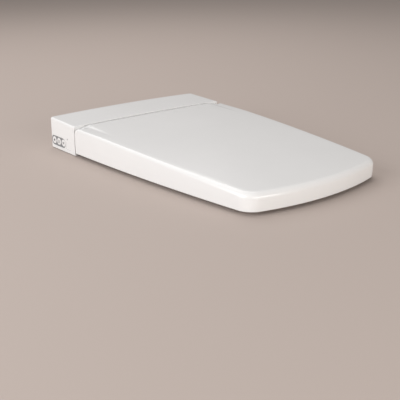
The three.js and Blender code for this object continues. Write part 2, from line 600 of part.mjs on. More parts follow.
piece('deodoriser_housing', cut(
  solid(block(134, 159, 24, 84, 9, 40)),
  block(132, 157, 50, 82, 11, 38),
), blackPlastic);
piece('carbon_filter', block(134.5, 156.5, 50.5, 81.5, 11.5, 37.5), carbon);
piece('power_board', block(-150, -98, 16, 86, 9, 10.6), circuitGreen);
piece('transformer', join(block(-146, -118, 50, 80, 11, 34), block(-149, -115, 58, 72, 11, 30)), blackPlastic);
const gland = join(
  bar([GLAND.x, 1, GLAND.z], [GLAND.x, 12, GLAND.z], GLAND.radius, 20),
  bar([GLAND.x, 6.3, GLAND.z], [GLAND.x, 9, GLAND.z], GLAND.radius + 3, 20),
);
piece('power_gland', cut(gland, bar([GLAND.x, -1, GLAND.z], [GLAND.x, 13, GLAND.z], 3.6, 14)), blackPlastic);

export default seat;
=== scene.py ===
"""An electric bidet seat: rear housing with a key panel, heated ring and flat lid on soft-close hinges."""

from math import asin, atan2, cos, pi, radians, sin, sqrt

import bmesh
import bpy
from mathutils import Euler, Matrix, Vector


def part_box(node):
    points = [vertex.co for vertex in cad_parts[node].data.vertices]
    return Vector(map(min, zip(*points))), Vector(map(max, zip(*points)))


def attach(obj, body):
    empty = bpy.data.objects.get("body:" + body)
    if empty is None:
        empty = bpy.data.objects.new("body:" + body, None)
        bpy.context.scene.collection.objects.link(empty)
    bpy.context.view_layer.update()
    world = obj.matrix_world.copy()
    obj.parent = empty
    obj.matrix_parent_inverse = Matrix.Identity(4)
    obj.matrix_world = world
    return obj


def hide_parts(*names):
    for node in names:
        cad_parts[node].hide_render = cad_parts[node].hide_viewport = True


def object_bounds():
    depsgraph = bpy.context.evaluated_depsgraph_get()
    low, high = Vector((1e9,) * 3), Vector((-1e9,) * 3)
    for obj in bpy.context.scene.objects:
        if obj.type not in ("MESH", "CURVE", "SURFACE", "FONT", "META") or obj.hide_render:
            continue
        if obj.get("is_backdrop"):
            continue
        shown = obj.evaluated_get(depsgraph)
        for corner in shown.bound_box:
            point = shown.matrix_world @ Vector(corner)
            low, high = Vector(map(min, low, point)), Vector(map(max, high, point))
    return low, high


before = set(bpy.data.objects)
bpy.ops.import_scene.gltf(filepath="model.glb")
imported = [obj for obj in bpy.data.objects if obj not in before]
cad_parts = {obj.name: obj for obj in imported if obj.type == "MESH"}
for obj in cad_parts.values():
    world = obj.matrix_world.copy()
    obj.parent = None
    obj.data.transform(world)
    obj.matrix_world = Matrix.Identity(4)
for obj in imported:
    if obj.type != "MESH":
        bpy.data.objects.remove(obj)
cad_low, cad_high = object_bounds()

MM = 0.001


# ---- Camera, floor and light -------------------------------------------------------------------
# A camera at standing height in front and to the left of the seat, with a short telephoto lens.
# The seat stands on a pale floor, under broad soft lights from the left, from above and from the front.

camera_data = bpy.data.cameras.new("camera")
camera_data.lens = 69.93
camera_data.sensor_width = 36
camera = bpy.data.objects.new("camera", camera_data)
CAMERA_PITCH = radians(19.51)
CAMERA_TURN = radians(39.95)
camera.location = (-0.9655, -1.1147, 0.4413)
camera.rotation_euler = Euler((pi / 2 - CAMERA_PITCH, 0, -CAMERA_TURN))
bpy.context.scene.collection.objects.link(camera)
bpy.context.scene.camera = camera
bpy.context.scene.view_settings.view_transform = "Standard"


def softbox(name, place, target, size, power, colour):
    light = bpy.data.lights.new(name, "AREA")
    light.shape = "RECTANGLE"
    light.size, light.size_y = size
    light.energy = power
    light.color = colour
    lamp = bpy.data.objects.new(name, light)
    lamp.location = place
    lamp.rotation_euler = (Vector(target) - Vector(place)).to_track_quat("-Z", "Y").to_euler()
    bpy.context.scene.collection.objects.link(lamp)


softbox("light_left", (-2.4, 0.1, 0.9), (0, 0, 0.05), (2.2, 1.7), 44, (0.965, 0.98, 1.0))
softbox("light_above", (0.3, 1.4, 2.1), (0, 0.15, 0), (2.6, 2.2), 28, (1.0, 0.972, 0.962))
softbox("light_front", (-0.2, -2.6, 0.6), (0, -0.2, 0.04), (2.2, 1.0), 31, (1.0, 0.97, 0.94))

world = bpy.data.worlds.new("studio")
world.use_nodes = True
world.node_tree.nodes["Background"].inputs["Color"].default_value = (0.82, 0.80, 0.79, 1)
world.node_tree.nodes["Background"].inputs["Strength"].default_value = 0.42
bpy.context.scene.world = world

floor_mesh = bmesh.new()
bmesh.ops.create_grid(floor_mesh, x_segments=1, y_segments=1, size=14)
floor_data = bpy.data.meshes.new("floor")
floor_mesh.to_mesh(floor_data)
floor_mesh.free()
floor = bpy.data.objects.new("floor", floor_data)
bpy.context.scene.collection.objects.link(floor)
floor_paint = bpy.data.materials.new("floor_paint")
floor_paint.use_nodes = True
floor_shader = floor_paint.node_tree.nodes["Principled BSDF"]
floor_shader.inputs["Base Color"].default_value = (0.53, 0.45, 0.405, 1)
floor_shader.inputs["Roughness"].default_value = 0.85
floor_data.materials.append(floor_paint)
floor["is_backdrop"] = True


# ---- Lid ---------------------------------------------------------------------------------------
# The lid is one injection-moulded shell of white polypropylene, open below, with soft top edges that
# widen towards the front. Its rear edge is rounded about the hinge, and its rear corners dip slightly.

CLEAR = 0.2 * MM  # the smooth skins keep this much inside the frame's box
HALF_WIDTH = cad_high.x - CLEAR
WALL = cad_high.y
LENGTH = cad_high.y - cad_low.y - CLEAR
WIDEST = 92 * MM
SIDE_RADIUS = 4170 * MM
FRONT_RADIUS = 520 * MM
CORNER_RADIUS = 34 * MM
CROWN = 2.9 * MM
HINGE = 109 * MM
HINGE_Z = 53 * MM
LID_START = 98.5 * MM
LID_BOTTOM = 6 * MM
HEEL = 10.5 * MM
REAR_HEIGHT, FALL, SAG = 64.3, 19.8, 8.85  # millimetres: the top at the wall, and how it comes down to the front


def smooth(t):
    t = min(max(t, 0), 1)
    return t * t * (3 - 2 * t)


def edge_height(s):
    return (REAR_HEIGHT - FALL * (s / LENGTH) - SAG * (s / LENGTH) ** 2) * MM


def top_height(x, s):
    return edge_height(s) + CROWN * (1 - (x / HALF_WIDTH) ** 2)


side_centre = Vector((HALF_WIDTH - SIDE_RADIUS, WIDEST))
front_centre = Vector((0, LENGTH - FRONT_RADIUS))


def corner_centre():
    side, front = SIDE_RADIUS - CORNER_RADIUS, FRONT_RADIUS - CORNER_RADIUS
    apart = front_centre - side_centre
    along = (side**2 - front**2 + apart.length_squared) / (2 * apart.length)
    off = sqrt(side**2 - along**2)
    way = apart.normalized()
    return side_centre + way * along + Vector((-way.y, way.x)) * off


corner = corner_centre()


def arc(centre, radius, start, end, count):
    return [
        centre + radius * Vector((cos(start + (end - start) * i / count), sin(start + (end - start) * i / count)))
        for i in range(count)
    ]


def seat_outline(inset, start):
    """Points (x, distance from the wall) round the seat's plan: side, corner, front, and back along the rear."""
    side = SIDE_RADIUS - inset
    a = asin((start - side_centre.y) / side)
    b = atan2(*(corner - side_centre).yx)
    c = atan2(*(corner - front_centre).yx)
    heel_end = asin((start + 24 * MM - side_centre.y) / side)
    right = arc(side_centre, side, a, heel_end, 16) + arc(side_centre, side, heel_end, b, 30)
    right += arc(corner, CORNER_RADIUS - inset, b, c, 12)
    right += arc(front_centre, FRONT_RADIUS - inset, c, pi / 2, 24)
    right.append(Vector((0, LENGTH - inset)))
    left = [Vector((-p.x, p.y)) for p in reversed(right[:-1])]
    reach = right[0].x
    rear = [Vector((-reach + 2 * reach * i / 60, start)) for i in range(1, 60)]
    return right + left + rear


def skin(mesh, rings):
    """Faces between each closed ring of points (x, distance from the wall, z) and the next."""
    loops = [[mesh.verts.new((x, WALL - s, z)) for x, s, z in points] for points in rings]
    for lower, upper in zip(loops, loops[1:]):
        for i in range(len(lower)):
            mesh.faces.new((lower[i - 1], lower[i], upper[i], upper[i - 1]))


def finished(mesh, name, material, solid=None):
    """An object from a mesh, smooth-shaded with its sharp edges kept, given a wall if solid is a thickness."""
    bmesh.ops.remove_doubles(mesh, verts=mesh.verts, dist=0.01 * MM)
    bmesh.ops.recalc_face_normals(mesh, faces=mesh.faces)
    data = bpy.data.meshes.new(name)
    mesh.to_mesh(data)
    mesh.free()
    data.shade_smooth()
    data.set_sharp_from_angle(angle=radians(35))
    data.materials.append(material)
    piece = bpy.data.objects.new(name, data)
    bpy.context.scene.collection.objects.link(piece)
    if solid:
        wall = piece.modifiers.new("wall", "SOLIDIFY")
        wall.thickness = solid
        wall.offset = -1
        wall.use_even_offset = True
    return piece


def moulding_group():
    """Fine mould texture shared by every moulded plastic: faint mottling of colour and gloss, and a low grain."""
    group = bpy.data.node_groups.new("moulding", "ShaderNodeTree")
    for name, kind, default in (
        ("Colour", "NodeSocketColor", (0.9, 0.9, 0.9, 1)),
        ("Roughness", "NodeSocketFloat", 0.3),
        ("Grain size", "NodeSocketFloat", 900.0),
        ("Grain depth", "NodeSocketFloat", 0.1),
    ):
        socket = group.interface.new_socket(name, in_out="INPUT", socket_type=kind)
        socket.default_value = default
    for name, kind in (("Colour", "NodeSocketColor"), ("Roughness", "NodeSocketFloat"), ("Normal", "NodeSocketVector")):
        group.interface.new_socket(name, in_out="OUTPUT", socket_type=kind)
    nodes, links = group.nodes, group.links
    given, result = nodes.new("NodeGroupInput"), nodes.new("NodeGroupOutput")
    place = nodes.new("ShaderNodeTexCoord")
    cloud = nodes.new("ShaderNodeTexNoise")
    cloud.inputs["Scale"].default_value = 9
    cloud.inputs["Detail"].default_value = 3
    tone = nodes.new("ShaderNodeMapRange")
    tone.inputs["From Min"].default_value, tone.inputs["From Max"].default_value = 0.3, 0.7
    tone.inputs["To Min"].default_value, tone.inputs["To Max"].default_value = 0.985, 1.0
    shade = nodes.new("ShaderNodeVectorMath")
    shade.operation = "SCALE"
    gloss = nodes.new("ShaderNodeMath")
    gloss.operation = "MULTIPLY_ADD"
    gloss.inputs[1].default_value = 0.06
    grain = nodes.new("ShaderNodeTexNoise")
    grain.inputs["Detail"].default_value = 2
    bump = nodes.new("ShaderNodeBump")
    bump.inputs["Distance"].default_value = 0.05 * MM
    links.new(place.outputs["Object"], cloud.inputs["Vector"])
    links.new(place.outputs["Object"], grain.inputs["Vector"])
    links.new(given.outputs["Grain size"], grain.inputs["Scale"])
    links.new(given.outputs["Grain depth"], bump.inputs["Strength"])
    links.new(grain.outputs["Fac"], bump.inputs["Height"])
    links.new(cloud.outputs["Fac"], tone.inputs["Value"])
    links.new(given.outputs["Colour"], shade.inputs[0])
    links.new(tone.outputs["Result"], shade.inputs["Scale"])
    links.new(cloud.outputs["Fac"], gloss.inputs[0])
    links.new(given.outputs["Roughness"], gloss.inputs[2])
    links.new(shade.outputs["Vector"], result.inputs["Colour"])
    links.new(gloss.outputs["Value"], result.inputs["Roughness"])
    links.new(bump.outputs["Normal"], result.inputs["Normal"])
    return group


moulding = moulding_group()


def plastic(name, colour, roughness, grain_size=900.0, grain_depth=0.1, coat=0.0):
    material = bpy.data.materials.new(name)
    material.use_nodes = True
    nodes, links = material.node_tree.nodes, material.node_tree.links
    shader = nodes["Principled BSDF"]
    surface = nodes.new("ShaderNodeGroup")
    surface.node_tree = moulding
    surface.inputs["Colour"].default_value = (*colour, 1)
    surface.inputs["Roughness"].default_value = roughness
    surface.inputs["Grain size"].default_value = grain_size
    surface.inputs["Grain depth"].default_value = grain_depth
    links.new(surface.outputs["Colour"], shader.inputs["Base Color"])
    links.new(surface.outputs["Roughness"], shader.inputs["Roughness"])
    links.new(surface.outputs["Normal"], shader.inputs["Normal"])
    shader.inputs["Coat Weight"].default_value = coat
    shader.inputs["Coat Roughness"].default_value = 0.12
    return material


gloss_white = plastic("gloss_white", (0.86, 0.855, 0.845), 0.22, 1400.0, 0.05, coat=0.35)

EDGE_REAR, EDGE_FRONT = 3.5 * MM, 10.5 * MM  # the edge's radius at the rear and at the front
CREASE = 31 * MM  # the line inside which the rear corners stop dipping
DIP = 1.8 * MM
CORNER_LONG, CORNER_TALL, CORNER_WIDE = 22 * MM, 15 * MM, 24 * MM


def edge_radius(s):
    return EDGE_REAR + (EDGE_FRONT - EDGE_REAR) * (s / LENGTH) ** 2


def lid_height(x, s):
    inward = HALF_WIDTH - abs(x)
    dip = DIP * (1 - smooth((inward - CREASE + 5 * MM) / (5 * MM))) * (1 - smooth((s - 105 * MM) / (95 * MM)))
    return top_height(x, s) - dip


def heel_height(x, s):
    """How high the lid may stand behind its hinge. Its rear corners are rounded more than its middle."""
    behind = HINGE - s
    round_bar = HINGE_Z + sqrt(max(HEEL**2 - behind**2, 0)) if behind > 0 else 1.0
    ahead = min(max(1 - (s - LID_START) / CORNER_LONG, 0), 1)
    drop = CORNER_TALL * (1 - sqrt(1 - ahead**2))
    near_side = smooth((abs(x) - HALF_WIDTH + CORNER_WIDE) / (CORNER_WIDE - 8 * MM))
    return min(round_bar, top_height(x, s) - drop * near_side)


def lid_rings():
    outer = seat_outline(0, LID_START)
    draft = seat_outline(0.8 * MM, LID_START)
    inner = seat_outline(EDGE_FRONT, LID_START + HEEL)
    count = len(outer)
    rings = [
        [(p.x, p.y, LID_BOTTOM) for p in seat_outline(1.6 * MM, LID_START)],
        [(p.x, p.y, LID_BOTTOM + 0.8 * MM) for p in draft],
        [(p.x, p.y, LID_BOTTOM + 0.4 * (edge_height(p.y) - LID_BOTTOM)) for p in outer],
    ]
    for step in range(11):
        turn = pi / 2 * step / 10
        points = []
        for p, q in zip(outer, inner):
            on_rear = p.y <= LID_START + 0.01 * MM
            radius = edge_radius(p.y)
            share = 1 - cos(turn)
            if not on_rear or abs(p.x) >= HALF_WIDTH - 1 * MM:
                share = radius / EDGE_FRONT * share
            at = p.lerp(q, share)
            drop = 0 if on_rear and abs(p.x) < HALF_WIDTH - 12 * MM else radius * (1 - sin(turn))
            points.append((at.x, at.y, min(lid_height(at.x, at.y) - drop, heel_height(at.x, at.y))))
        rings.append(points)
    for inset in (17, 22, 26, 28, 30, 32):
        ring = seat_outline(inset * MM, LID_START + HEEL + (inset - 12) * 0.5 * MM)
        rings.append([(p.x, p.y, lid_height(p.x, p.y)) for p in ring])
    spine = [Vector((0, min(max(p.y, 200 * MM), 480 * MM))) for p in ring]
    for t in (0.12, 0.25, 0.4, 0.55, 0.7, 0.85, 1):
        inwards = [p.lerp(q, t) for p, q in zip(ring, spine)]
        rings.append([(p.x, p.y, lid_height(p.x, p.y)) for p in inwards])
    return rings


lid_mesh = bmesh.new()
skin(lid_mesh, lid_rings())
STANDS_END = 166 * MM  # dampers, arms and stands lie within this of the middle
HEEL_END = 59.5 * MM


def left_open(vert):
    """Whether a corner of the skin is in the way of the hinges: behind them, and below the heel's rounding."""
    s = WALL - vert.co.y
    on_back = s < LID_START + 0.1 * MM and abs(vert.co.x) < HALF_WIDTH - 2.4 * MM
    over_hinge = s < HINGE and abs(vert.co.x) < STANDS_END and vert.co.z < HEEL_END
    return on_back or over_hinge


rear_wall = [face for face in lid_mesh.faces if all(left_open(v) for v in face.verts)]
bmesh.ops.delete(lid_mesh, geom=rear_wall, context="FACES")
lid_skin = finished(lid_mesh, "lid_outer_shell", gloss_white, solid=2 * MM)
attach(lid_skin, "lid")
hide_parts("lid_shell")


# ---- Lid lining and lugs -----------------------------------------------------------------------
# The underside of the lid is closed by a satin lining, set in 5 mm from the edge, with a shallow
# recessed field. Two lugs, moulded on the shell's underside, turn on the hinge pins.

satin_white = plastic("satin_white", (0.80, 0.795, 0.785), 0.48, 1800.0, 0.22)

LINING_START = 135.5 * MM
FIELD = 26 * MM  # inset of the recessed field


def lining_rings():
    rings = []
    for inset, down in ((5.0, 2.9), (5.0, 4.4), (5.6, 5.0), (6.4, 5.2), (FIELD / MM - 3, 5.2), (FIELD / MM, 4.4)):
        ring = seat_outline(inset * MM, LINING_START + (inset - 5) * MM)
        rings.append([(p.x, p.y, top_height(p.x, p.y) - down * MM) for p in ring])
    spine = [Vector((0, min(max(p.y, 220 * MM), 480 * MM))) for p in ring]
    for t in (0.25, 0.5, 0.75, 1):
        inwards = [p.lerp(q, t) for p, q in zip(ring, spine)]
        rings.append([(p.x, p.y, top_height(p.x, p.y) - 4.4 * MM) for p in inwards])
    return rings


lining_mesh = bmesh.new()
skin(lining_mesh, lining_rings())
lining = finished(lining_mesh, "lid_lining", satin_white)
lining_wall = lining.modifiers.new("wall", "SOLIDIFY")
lining_wall.thickness = 1.4 * MM
lining_wall.offset = 1
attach(lining, "lid")
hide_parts("lid_liner")


def cylinder_across(mesh, x0, x1, s, z, radius, sides=48):
    """A closed round bar along X."""
    turn = Matrix.Translation(((x0 + x1) / 2, WALL - s, z)) @ Matrix.Rotation(pi / 2, 4, "Y")
    made = bmesh.ops.create_cone(
        mesh, cap_ends=True, segments=sides, radius1=radius, radius2=radius, depth=abs(x1 - x0), matrix=turn
    )
    return made["verts"]


def block_of(mesh, x0, x1, near, far, z0, z1):
    size = Matrix.Diagonal((abs(x1 - x0), far - near, z1 - z0, 1))
    place = Matrix.Translation(((x0 + x1) / 2, WALL - (near + far) / 2, (z0 + z1) / 2))
    return bmesh.ops.create_cube(mesh, size=1, matrix=place @ size)["verts"]


def rounded(piece, width, segments=2):
    edge = piece.modifiers.new("edge", "BEVEL")
    edge.width = width
    edge.segments = segments
    edge.limit_method = "ANGLE"
    edge.angle_limit = radians(40)
    return piece


LUG_RADIUS = 5.5 * MM
for side, sign in (("left", 1), ("right", -1)):
    lug_mesh = bmesh.new()
    cylinder_across(lug_mesh, sign * 160 * MM, sign * 176 * MM, HINGE, HINGE_Z, LUG_RADIUS)
    block_of(lug_mesh, sign * 161 * MM, sign * 175 * MM, HINGE - 3 * MM, HINGE + 5 * MM, HINGE_Z, 58.6 * MM)
    lug = rounded(finished(lug_mesh, f"lid_lug_{side}", gloss_white), 0.4 * MM)
    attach(lug, "lid")
    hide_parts("lid_shell")


# ---- Housing -----------------------------------------------------------------------------------
# The rear cover is one white moulding that follows the lid's top and sides. It is open below, and its
# walls have openings for the key panel, lens, receiver, release button, water inlet and power gland.

SEAM = 96.5 * MM
COVER_BOTTOM = 1 * MM
LEDGE_ROOM = 27 * MM  # the front wall stands above the tray's ledge
REAR_CORNER = 6 * MM
TOP_EDGE = 3.6 * MM
FRONT_EDGE = 0.7 * MM


def housing_outline(inset):
    """Points (x, distance from the wall) round the housing's plan, with the seam side inset less."""
    side = SIDE_RADIUS - inset
    rear_corner = max(REAR_CORNER - inset, 0.4 * MM)
    front = SEAM - inset * FRONT_EDGE / TOP_EDGE
    rear_s = inset + rear_corner
    a = asin((front - side_centre.y) / side)
    b = asin((rear_s - side_centre.y) / (side - rear_corner))
    centre = side_centre + (side - rear_corner) * Vector((cos(b), sin(b)))
    right = arc(side_centre, side, a, b, 20) + arc(centre, rear_corner, b, -pi / 2, 10)
    right.append(Vector((centre.x, inset)))
    rear = [Vector((centre.x * (1 - i / 20), inset)) for i in range(1, 40)]
    left = [Vector((-p.x, p.y)) for p in reversed(right)]
    reach = right[0].x
    seam = [Vector((-reach + 2 * reach * i / 60, front)) for i in range(1, 60)]
    return right + rear + left + seam


def housing_rings():
    outer, inner = housing_outline(0), housing_outline(TOP_EDGE)
    rings = [
        [(p.x, p.y, COVER_BOTTOM) for p in housing_outline(0.7 * MM)],
        [(p.x, p.y, COVER_BOTTOM + 0.7 * MM) for p in outer],
        [(p.x, p.y, LEDGE_ROOM) for p in outer],
    ]
    for step in range(11):
        turn = pi / 2 * step / 10
        points = []
        for p, q in zip(outer, inner):
            on_seam = p.y > SEAM - 0.01 * MM and abs(p.x) < HALF_WIDTH - 2 * MM
            at = p.lerp(q, 1 - cos(turn))
            near_side = HALF_WIDTH - abs(at.x) < TOP_EDGE
            drop = (TOP_EDGE if near_side or not on_seam else FRONT_EDGE) * (1 - sin(turn))
            points.append((at.x, at.y, top_height(at.x, at.y) - drop))
        rings.append(points)
    spine = [Vector((min(max(p.x, -150 * MM), 150 * MM), 48 * MM)) for p in inner]
    for t in (0.15, 0.4, 0.7, 1):
        inwards = [p.lerp(q, t) for p, q in zip(inner, spine)]
        rings.append([(p.x, p.y, top_height(p.x, p.y)) for p in inwards])
    return rings


def cut_out(piece, cutter_mesh, name):
    """Cuts one piece with a closed shape and keeps the result as its mesh."""
    bmesh.ops.recalc_face_normals(cutter_mesh, faces=cutter_mesh.faces)
    data = bpy.data.meshes.new(name)
    cutter_mesh.to_mesh(data)
    cutter_mesh.free()
    cutter = bpy.data.objects.new(name, data)
    bpy.context.scene.collection.objects.link(cutter)
    cut = piece.modifiers.new("cut", "BOOLEAN")
    cut.operation = "DIFFERENCE"
    cut.solver = "EXACT"
    cut.object = cutter
    view = bpy.context.evaluated_depsgraph_get()
    made = bpy.data.meshes.new_from_object(piece.evaluated_get(view))
    piece.modifiers.clear()
    piece.data = made
    bpy.data.objects.remove(cutter)
    piece.data.set_sharp_from_angle(angle=radians(35))


def bar_across(mesh, x0, x1, section):
    """A closed bar along X, from points (distance from the wall, height) round its section."""
    face = mesh.faces.new([mesh.verts.new((x0, WALL - p.x, p.y)) for p in section])
    bulk = bmesh.ops.extrude_face_region(mesh, geom=[face], use_keep_orig=True)
    moved = [v for v in bulk["geom"] if isinstance(v, bmesh.types.BMVert)]
    bmesh.ops.translate(mesh, vec=(x1 - x0, 0, 0), verts=moved)


def capsule_across(mesh, x0, x1, s0, s1, z0, z1, sides=32):
    """A closed capsule-shaped bar along X, standing between two distances from the wall."""
    radius = (z1 - z0) / 2
    ends = arc(Vector((s1 - radius, (z0 + z1) / 2)), radius, -pi / 2, pi / 2, sides)
    ends += arc(Vector((s0 + radius, (z0 + z1) / 2)), radius, pi / 2, 3 * pi / 2, sides)
    bar_across(mesh, x0, x1, ends)


def node_middle(name):
    low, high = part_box(name)
    return (Vector(low) + Vector(high)) / 2


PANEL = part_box("panel_bezel")
PANEL_NEAR, PANEL_FAR = WALL - PANEL[1][1], WALL - PANEL[0][1]
SLIP = 0.15 * MM  # gap round a piece let into the cover
outside, inside = -195 * MM, -180 * MM

housing_mesh = bmesh.new()
skin(housing_mesh, housing_rings())
open_front = [
    face
    for face in housing_mesh.faces
    if all(
        WALL - v.co.y > SEAM - 0.8 * MM and abs(v.co.x) < 173 * MM and v.co.z < LEDGE_ROOM + 0.1 * MM
        for v in face.verts
    )
]
bmesh.ops.delete(housing_mesh, geom=open_front, context="FACES")
housing = finished(housing_mesh, "rear_cover_shell", gloss_white, solid=2.8 * MM)

holes = bmesh.new()
capsule_across(
    holes, outside, inside, PANEL_NEAR - SLIP, PANEL_FAR + SLIP, PANEL[0][2] - SLIP, PANEL[1][2] + SLIP
)
lens_at, window_at = node_middle("status_lens"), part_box("receiver_window")
cylinder_across(holes, outside, inside, WALL - lens_at.y, lens_at.z, 1.5 * MM + SLIP, 24)
release_at = node_middle("release_button")
cylinder_across(holes, 180 * MM, 195 * MM, WALL - release_at.y, release_at.z, 8 * MM + SLIP)
for node, radius in (("water_inlet", 11 * MM), ("power_gland", 8 * MM)):
    at = node_middle(node)
    turn = Matrix.Translation((at.x, WALL, at.z)) @ Matrix.Rotation(pi / 2, 4, "X")
    bmesh.ops.create_cone(
        holes, cap_ends=True, segments=48, radius1=radius, radius2=radius, depth=12 * MM, matrix=turn
    )
WINDOW_CORNER = 3 * MM


def soft_square(mesh, x0, x1, box, grow, corner_radius):
    """A closed bar along X with a rounded-square section, from a node's box."""
    s0, s1 = WALL - box[1][1] - grow, WALL - box[0][1] + grow
    z0, z1 = box[0][2] - grow, box[1][2] + grow
    r = corner_radius
    ends = []
    for s, z, turn in ((s1 - r, z1 - r, 0), (s0 + r, z1 - r, 1), (s0 + r, z0 + r, 2), (s1 - r, z0 + r, 3)):
        ends += arc(Vector((s, z)), r, turn * pi / 2, (turn + 1) * pi / 2, 8)
    bar_across(mesh, x0, x1, ends)


soft_square(holes, outside, inside, window_at, SLIP, WINDOW_CORNER + SLIP)
cut_out(housing, holes, "cover_holes")
RACK_HALF, RACK_TOP = 25.5 * MM, 34.5 * MM  # the notch in the front wall for the stowed nozzle's rack
rack_room = bmesh.new()
block_of(rack_room, -RACK_HALF, RACK_HALF, SEAM - 8 * MM, SEAM + 4 * MM, 0, RACK_TOP)
cut_out(housing, rack_room, "rack_room")
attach(housing, "base")
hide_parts("rear_cover")


# ---- Seat ring ---------------------------------------------------------------------------------
# The heated seat is a white shell that sinks from its outer edge to the oval opening. Its base plate
# is welded in from below, and two arms at the rear carry the lugs that turn on the hinge pins.

RING_INSET = 8.2 * MM
RING_START = 122.2 * MM
RING_DROP = 14.2 * MM
RING_BOTTOM = 6 * MM
STEP_HALF, STEP_FAR, STEP_HEIGHT = 109 * MM, 174 * MM, 29 * MM
OPENING_CENTRE = 318 * MM
OPENING_WIDE, OPENING_LONG = 108 * MM, 150 * MM
RING_EDGE = 9 * MM
DISH = 2.5 * MM  # how far the seat sinks towards the opening
LIP_TURN = radians(10)  # its slope where the lip of the opening begins


def ring_height(s, share):
    """Height of the seat's upper face, a share of the way from its outer edge to the opening."""
    return edge_height(s) - RING_DROP - DISH * share**3


def ring_foot(x, s):
    under_ledge = abs(x) < STEP_HALF and s < STEP_FAR
    return STEP_HEIGHT if under_ledge else RING_BOTTOM


def turn_of(p):
    """The turn about the middle of the opening at which a point of the plan lies."""
    return atan2((p.y - OPENING_CENTRE) / OPENING_LONG, p.x / OPENING_WIDE)


def ring_edges(inset, count=240):
    """The plan's outer edge and the opening's edge, as points at the same even turns about the opening."""
    known = sorted((turn_of(p), p) for p in seat_outline(RING_INSET + inset, RING_START + inset))
    known = [(known[-1][0] - 2 * pi, known[-1][1])] + known + [(known[0][0] + 2 * pi, known[0][1])]
    outer, inner, at = [], [], 0
    for step in range(count):
        turn = -pi + 2 * pi * step / count
        while known[at + 1][0] < turn:
            at += 1
        (before, p), (after, q) = known[at], known[at + 1]
        outer.append(p.lerp(q, (turn - before) / max(after - before, 1e-9)))
        wide, long = OPENING_WIDE + inset, OPENING_LONG + inset
        inner.append(Vector((wide * cos(turn), OPENING_CENTRE + long * sin(turn))))
    return outer, inner


def seat_rings():
    outer, inner = ring_edges(0)
    rings = [[(p.x, p.y, ring_foot(p.x, p.y)) for p in outer]]
    for step in range(9):
        turn = pi / 2 * step / 8
        at = [p + (q - p).normalized() * RING_EDGE * (1 - cos(turn)) for p, q in zip(outer, inner)]
        rings.append([(p.x, p.y, ring_height(p.y, 0) - RING_EDGE * (1 - sin(turn))) for p in at])
    for share in (0.1, 0.2, 0.3, 0.4, 0.5, 0.6, 0.7, 0.8, 0.9):
        at = []
        for p, q in zip(outer, inner):
            way = (q - p).normalized() * RING_EDGE
            at.append((p + way).lerp(q - way, share))
        rings.append([(p.x, p.y, ring_height(p.y, share)) for p in at])
    for step in range(13):
        turn = LIP_TURN + (pi / 2 - LIP_TURN) * step / 12
        at = [q - (q - p).normalized() * RING_EDGE * (1 - sin(turn)) for p, q in zip(outer, inner)]
        rings.append([(p.x, p.y, ring_height(p.y, 1) - RING_EDGE * (cos(LIP_TURN) - cos(turn))) for p in at])
    rings.append([(p.x, p.y, ring_foot(p.x, p.y)) for p in inner])
    return rings


seat_white = plastic("seat_white", (0.87, 0.865, 0.86), 0.30, 1500.0, 0.10, coat=0.15)
seat_mesh = bmesh.new()
skin(seat_mesh, seat_rings())
seat = finished(seat_mesh, "seat_ring", seat_white, solid=2.6 * MM)
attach(seat, "seat")
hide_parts("seat_top")

for side, sign in (("left", 1), ("right", -1)):
    arm_mesh = bmesh.new()
    cylinder_across(arm_mesh, sign * 118 * MM, sign * 138 * MM, HINGE, HINGE_Z, LUG_RADIUS)
    block_of(arm_mesh, sign * 119 * MM, sign * 137 * MM, HINGE + 0.5 * MM, RING_START + 3 * MM, 41 * MM, 48 * MM)
    arm = rounded(finished(arm_mesh, f"seat_arm_{side}", seat_white), 0.5 * MM)
    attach(arm, "seat")
    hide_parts("seat_top")


# ---- Key panel ---------------------------------------------------------------------------------
# A mid grey capsule-shaped frame is snapped into the right-hand side of the cover. Three round white
# keys stand in it, each printed with a plain sign: stop, wash and dry.

panel_grey = plastic("panel_grey", (0.25, 0.255, 0.26), 0.32, 1600.0, 0.15)
PANEL_FACE = PANEL[0][0]
PANEL_BACK = PANEL[1][0]
KEYS = ("key_stop", "key_wash", "key_dry")
KEY_HOLE = 7.9 * MM

frame_mesh = bmesh.new()
capsule_across(frame_mesh, PANEL_BACK, PANEL_FACE, PANEL_NEAR, PANEL_FAR, PANEL[0][2], PANEL[1][2])
panel_frame = finished(frame_mesh, "key_panel_frame", panel_grey)
panel_holes = bmesh.new()
for key in KEYS:
    key_at = node_middle(key)
    cylinder_across(panel_holes, outside, inside, WALL - key_at.y, key_at.z, KEY_HOLE)
cut_out(panel_frame, panel_holes, "panel_holes")
rounded(panel_frame, 0.35 * MM)
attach(panel_frame, "base")
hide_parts("panel_bezel")

key_white = plastic("key_white", (0.83, 0.82, 0.81), 0.28, 1800.0, 0.08, coat=0.2)
key_print = plastic("key_print", (0.03, 0.03, 0.034), 0.5, 1800.0, 0.1)


def turned(profile, centre, axis, name, material, steps=48):
    """A piece spun from a profile of (radius, distance along the axis) about an axis through a point."""
    mesh = bmesh.new()
    corners = [mesh.verts.new((radius, 0, along)) for radius, along in profile]
    edges = [mesh.edges.new(pair) for pair in zip(corners, corners[1:])]
    bmesh.ops.spin(
        mesh, geom=corners + edges, cent=(0, 0, 0), axis=(0, 0, 1), angle=2 * pi, steps=steps, use_merge=True
    )
    way = Vector((0, 0, 1)).rotation_difference(Vector(axis)).to_matrix().to_4x4()
    bmesh.ops.transform(mesh, matrix=Matrix.Translation(centre) @ way, verts=mesh.verts)
    return finished(mesh, name, material)


def disc_sign(mesh, at, offset, radius, thick):
    turn = Matrix.Translation((at.x, at.y + offset[0], at.z + offset[1])) @ Matrix.Rotation(pi / 2, 4, "Y")
    bmesh.ops.create_cone(mesh, cap_ends=True, segments=20, radius1=radius, radius2=radius, depth=thick, matrix=turn)


